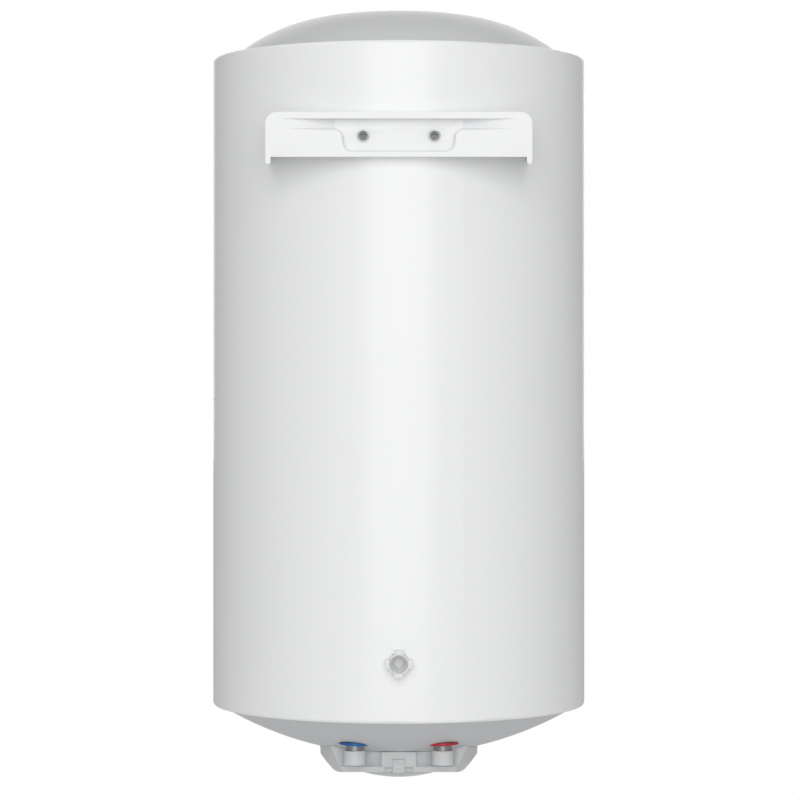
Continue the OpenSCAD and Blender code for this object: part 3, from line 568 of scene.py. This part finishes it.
@dataclass
class SoftenedCopy:
    """A copy of a CAD node whose sharp edges are rounded as moulding or pressing leaves them."""

    node: str
    radius: float = 0.4 * MM
    segments: int = 2
    edge_degrees: float = 35.0
    first: Callable[[bpy.types.Object], None] | None = None

    def build(self) -> bpy.types.Object:
        """Copies the node, merges its triangles and rounds its edges."""
        leave_edit()
        source = frame["nodes"][self.node]
        bpy.context.view_layer.objects.active = source
        source.select_set(True)
        bpy.ops.object.duplicate()
        copy = bpy.context.object
        copy.name = f"{self.node}_finished"
        for key in list(copy.keys()):
            del copy[key]
        copy.parent = None
        edit(copy)
        bpy.ops.mesh.remove_doubles(threshold=0.002 * MM)
        bpy.ops.mesh.customdata_custom_splitnormals_clear()
        bpy.ops.mesh.dissolve_limited(angle_limit=math.radians(0.6))
        leave_edit()
        if self.first:
            self.first(copy)
        apply_modifier(
            copy,
            "BEVEL",
            width=self.radius,
            segments=self.segments,
            limit_method="ANGLE",
            angle_limit=math.radians(self.edge_degrees),
            use_clamp_overlap=True,
            miter_outer="MITER_ARC",
        )
        finish_piece(copy)
        return copy


@dataclass
class Assembly:
    """A sub-assembly: CAD nodes that stay as they are, and nodes shown by softened copies."""

    name: str
    wardrobe: Wardrobe
    kept: tuple[str, ...] = ()
    softened: dict[str, float] = field(default_factory=dict)

    def build(self) -> None:
        """Builds and dresses every piece of the sub-assembly."""
        for node in self.kept:
            self.wardrobe.dress_node(node)
            log.info("%s: %s keeps its shape", self.name, node)
        for node, radius in self.softened.items():
            self.place(SoftenedCopy(node, radius).build(), node)

    def place(self, piece: bpy.types.Object, node: str) -> None:
        """Dresses a piece that stands for a CAD node and lets it ride on the node's body."""
        slot = self.wardrobe.slots[node]
        self.wardrobe.dress(piece, slot)
        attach(piece, frame["nodes"][node]["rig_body"])
        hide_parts(node)
        log.info("%s: %s with %d faces", self.name, piece.name, len(piece.data.polygons))


@dataclass
class WallBracket(Assembly):
    """The pressed hanging bracket: wide bends round its rim and small radii elsewhere."""

    bend_radius: float = 4.6 * MM
    press_radius: float = 0.9 * MM
    pan_radius: float = 2.4 * MM
    sharp_degrees: float = 25.0
    rim_width: float = 5 * MM
    rim_height: float = 5.2 * MM
    pressing_margin: float = 8 * MM
    pressing_band: float = 10 * MM

    def build(self) -> None:
        """Builds the bracket with its rolled rim."""
        super().build()
        shaped = SoftenedCopy(
            "wall_bracket", self.press_radius, 3, self.sharp_degrees, self.roll_rim
        )
        self.place(shaped.build(), "wall_bracket")

    def roll_rim(self, obj: bpy.types.Object) -> None:
        """Rounds the outer rim of the wall plate widely, and its pan and trough a little less."""
        low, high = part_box("wall_bracket")
        square_on = math.radians(60)

        def in_plate(edge: bmesh.types.BMEdge) -> bool:
            """Whether an edge lies in the wall plane with a wall rising from it."""
            if any(abs(v.co.y - high.y) > 0.05 * MM for v in edge.verts):
                return False
            return len(edge.link_faces) == 2 and edge.calc_face_angle(0.0) >= square_on

        def place_of(edge: bmesh.types.BMEdge) -> tuple[float, float]:
            """Distance of an edge's middle from the nearer side, and its height."""
            middle = (edge.verts[0].co + edge.verts[1].co) / 2
            return min(middle.x - low.x, high.x - middle.x), middle.z

        def on_rim(edge: bmesh.types.BMEdge) -> bool:
            """Whether an edge bounds the plate at the top or at a side."""
            side, height = place_of(edge)
            return in_plate(edge) and (side < self.rim_width or height > high.z - self.rim_height)

        def on_pressing(edge: bmesh.types.BMEdge) -> bool:
            """Whether an edge bounds the pan or the lower side of the trough."""
            side, height = place_of(edge)
            between = low.z + self.pressing_band < height < high.z - self.pressing_band
            return in_plate(edge) and side > self.pressing_margin and between

        edit(obj)
        for chosen, radius, segments in (
            (on_rim, self.bend_radius, 6),
            (on_pressing, self.pan_radius, 5),
        ):
            pick(obj, chosen)
            bpy.ops.mesh.bevel(
                offset=radius, segments=segments, affect="EDGES", clamp_overlap=True
            )
        leave_edit()


@dataclass
class Connections(Assembly):
    """The two water connections: steel nipples, coloured collars and push-on thread caps."""

    lip_round: float = 1.2 * MM
    wall: float = 1.8 * MM
    end_wall: float = 2 * MM
    steps: int = 64

    def build(self) -> None:
        """Builds the connections and turns a cap for each."""
        super().build()
        for node in ("cold_thread_cap", "hot_thread_cap"):
            self.place(self.cap(node), node)

    def cap(self, node: str) -> bpy.types.Object:
        """Turns one cap with a rounded closed end and a softened mouth."""
        low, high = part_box(node)
        outer = (high.x - low.x) / 2
        inner = outer - self.wall
        height = high.z - low.z
        lip = self.wall / 2
        profile = [(0.0, 0.0)]
        profile += turned_corner(outer - self.lip_round, self.lip_round, self.lip_round, -90)
        profile += turned_corner(outer - lip, height - lip, lip, 0)
        profile += turned_corner(outer - lip, height - lip, lip, 90)[1:]
        profile += [(inner, self.end_wall), (0.0, self.end_wall)]
        centre = Vector(((low.x + high.x) / 2, (low.y + high.y) / 2, low.z))
        piece = lathe(f"{node}_turned", centre, Vector((0, 0, 1)), profile, self.steps)
        finish_piece(piece)
        return piece


@dataclass
class WallSpacer(Assembly):
    """The spacer between the heater and the wall: a tapering socket in a ring with four ribs."""

    mouth_wall: float = 1.6 * MM
    ring_radius: float = 11.9 * MM
    floor_radius: float = 4.7 * MM
    depth: float = 24 * MM
    rib_width: float = 10.4 * MM
    rib_reach: float = 15.1 * MM
    rib_length: float = 14.4 * MM
    edge: float = 0.45 * MM
    floor_wall: float = 1 * MM
    steps: int = 72

    def build(self) -> None:
        """Builds the ring and its ribs as one piece."""
        low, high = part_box("wall_spacer")
        centre = Vector(((low.x + high.x) / 2, high.y, (low.z + high.z) / 2))
        ring = self.ring(centre)
        ribs = [self.rib(centre, turn) for turn in range(4)]
        leave_edit()
        for piece in (*ribs, ring):
            piece.select_set(True)
        bpy.context.view_layer.objects.active = ring
        bpy.ops.object.join()
        finish_piece(ring)
        self.place(ring, "wall_spacer")

    def ring(self, centre: Vector) -> bpy.types.Object:
        """Turns the ring with its socket."""
        mouth = self.ring_radius - self.mouth_wall
        half = self.mouth_wall / 2
        profile = [(0.0, self.depth), (self.floor_radius, self.depth)]
        profile += turned_corner(mouth + half, half, half, 180)
        profile += turned_corner(self.ring_radius - half, half, half, 270)[1:]
        end = self.depth + self.floor_wall
        profile += [(self.ring_radius, end), (0.0, end)]
        return lathe("wall_spacer_turned", centre, Vector((0, -1, 0)), profile, self.steps)

    def rib(self, centre: Vector, turn: int) -> bpy.types.Object:
        """Makes one rib with softened edges, a number of quarter turns round the ring."""
        leave_edit()
        middle = (self.ring_radius - self.mouth_wall / 2 + self.rib_reach) / 2
        place = centre + Vector((0, -self.rib_length / 2, middle))
        bpy.ops.mesh.primitive_cube_add(size=1, location=place)
        rib = bpy.context.object
        rib.scale = (self.rib_width, self.rib_length, 2 * (self.rib_reach - middle))
        bpy.ops.object.transform_apply(location=True, rotation=True, scale=True)
        edit(rib)
        bpy.ops.mesh.bevel(offset=self.edge, segments=3, affect="EDGES")
        bpy.ops.mesh.select_all(action="SELECT")
        bpy.ops.transform.rotate(value=turn * math.pi / 2, orient_axis="Y", center_override=centre)
        leave_edit()
        return rib


# ---------------------------------------------------------------- studio


@dataclass
class Studio:
    """Camera, floor and soft lights."""

    axis_y: float
    camera_distance: float = 3.515
    camera_height: float = -0.2562
    lens_mm: float = 131.6
    shift: tuple[float, float] = (0.0015, -0.0183)
    floor_gap: float = 0.30
    floor_radius: float = 1.3
    floor_grey: float = 0.86
    sky_light: float = 0.42

    def build(self) -> None:
        """Sets up everything round the heater."""
        self._camera()
        self._floor()
        self._lights()
        self._sky()
        bpy.context.scene.view_settings.view_transform = "Standard"

    def _camera(self) -> None:
        """A level camera behind the heater, looking at its wall side."""
        data = bpy.data.cameras.new("studio_camera")
        data.lens = self.lens_mm
        data.shift_x, data.shift_y = self.shift
        camera = bpy.data.objects.new("studio_camera", data)
        camera.location = (0.0, self.axis_y + self.camera_distance, self.camera_height)
        camera.rotation_euler = (math.pi / 2, 0.0, math.pi)
        bpy.context.scene.collection.objects.link(camera)
        bpy.context.scene.camera = camera

    def _floor(self) -> None:
        """A pale round floor below the heater."""
        leave_edit()
        low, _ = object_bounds()
        bpy.ops.mesh.primitive_circle_add(
            vertices=96,
            radius=self.floor_radius,
            fill_type="NGON",
            location=(0, self.axis_y, low[2] - self.floor_gap),
        )
        floor = bpy.context.object
        floor.name = "studio_floor"
        g = Graph("pale_floor")
        g.set(Base_Color=(self.floor_grey, self.floor_grey, self.floor_grey, 1.0), Roughness=0.8)
        floor.data.materials.append(g.material)
        floor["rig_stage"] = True

    def _lights(self) -> None:
        """One large high light in front of the wall side, and weaker ones elsewhere."""
        self._area("key", (0.0, 3.0, 0.55), (2.3, 3.2), 60.0)
        self._area("front", (0.0, -3.6, 0.8), (2.6, 2.6), 40.0)
        self._area("top", (0.0, self.axis_y, 2.4), (2.0, 2.0), 8.0)

    def _area(self, name: str, place: tuple, size: tuple[float, float], power: float) -> None:
        """Adds a light of that width and height, turned to the heater's middle."""
        data = bpy.data.lights.new(name, "AREA")
        data.shape = "RECTANGLE"
        data.size, data.size_y = size
        data.energy = power
        light = bpy.data.objects.new(name, data)
        light.location = place
        aim = Vector((0.0, self.axis_y, self.camera_height)) - Vector(place)
        light.rotation_euler = aim.to_track_quat("-Z", "Y").to_euler()
        bpy.context.scene.collection.objects.link(light)

    def _sky(self) -> None:
        """White surroundings that light the heater only softly."""
        world = bpy.data.worlds.new("studio_sky")
        world.use_nodes = True
        bpy.context.scene.world = world
        tree = world.node_tree
        back = tree.nodes["Background"]
        path = tree.nodes.new("ShaderNodeLightPath")
        strength = tree.nodes.new("ShaderNodeMapRange")
        strength.inputs["To Min"].default_value = self.sky_light
        strength.inputs["To Max"].default_value = 1.0
        tree.links.new(path.outputs["Is Camera Ray"], strength.inputs["Value"])
        tree.links.new(strength.outputs[0], back.inputs["Strength"])
        back.inputs["Color"].default_value = (1.0, 1.0, 1.0, 1.0)


def main() -> None:
    """Builds the sub-assemblies in order, then the studio."""
    wardrobe = Wardrobe(frame["record"])
    shell_low, shell_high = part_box("outer_casing")
    axis_y = (shell_low.y + shell_high.y) / 2
    parts = [
        Assembly("shell", wardrobe, ("outer_casing", "top_cap", "bottom_cap", "foam_insulation")),
        Assembly(
            "tank",
            wardrobe,
            (
                "tank_shell", "tank_top_head", "tank_bottom_head", "flange_ring", "flange_gasket",
                "flange_studs", "flange_plate", "flange_washers", "flange_nuts", "bracket_anchor",
                "hot_standpipe", "inlet_diffuser",
            ),
        ),
        Assembly(
            "heating",
            wardrobe,
            (
                "heating_element", "element_terminals", "thermostat_pocket", "anode_rod",
                "anode_stud", "anode_nut", "thermostat", "thermostat_spindle", "reset_button",
                "terminal_block", "terminal_screws", "earth_stud", "earth_nut", "internal_wires",
                "lamp_holder",
            ),
        ),
        WallBracket(
            "bracket", wardrobe, (), {"bracket_washers": 0.2 * MM, "bracket_screws": 0.3 * MM}
        ),
        WallSpacer("spacer", wardrobe),
        Connections(
            "connections",
            wardrobe,
            ("cold_inlet_pipe", "hot_outlet_pipe"),
            {"cold_collar": 0.3 * MM, "hot_collar": 0.3 * MM},
        ),
        Assembly(
            "cover",
            wardrobe,
            ("indicator_lens",),
            {
                "service_cover": 0.5 * MM, "cover_latch": 0.3 * MM, "cover_screws": 0.2 * MM,
                "cord_gland": 0.4 * MM, "control_knob": 0.5 * MM,
            },
        ),
    ]
    for part in parts:
        part.build()
    Studio(axis_y).build()


if __name__ == "__main__":
    logging.basicConfig(level=logging.INFO)
    main()
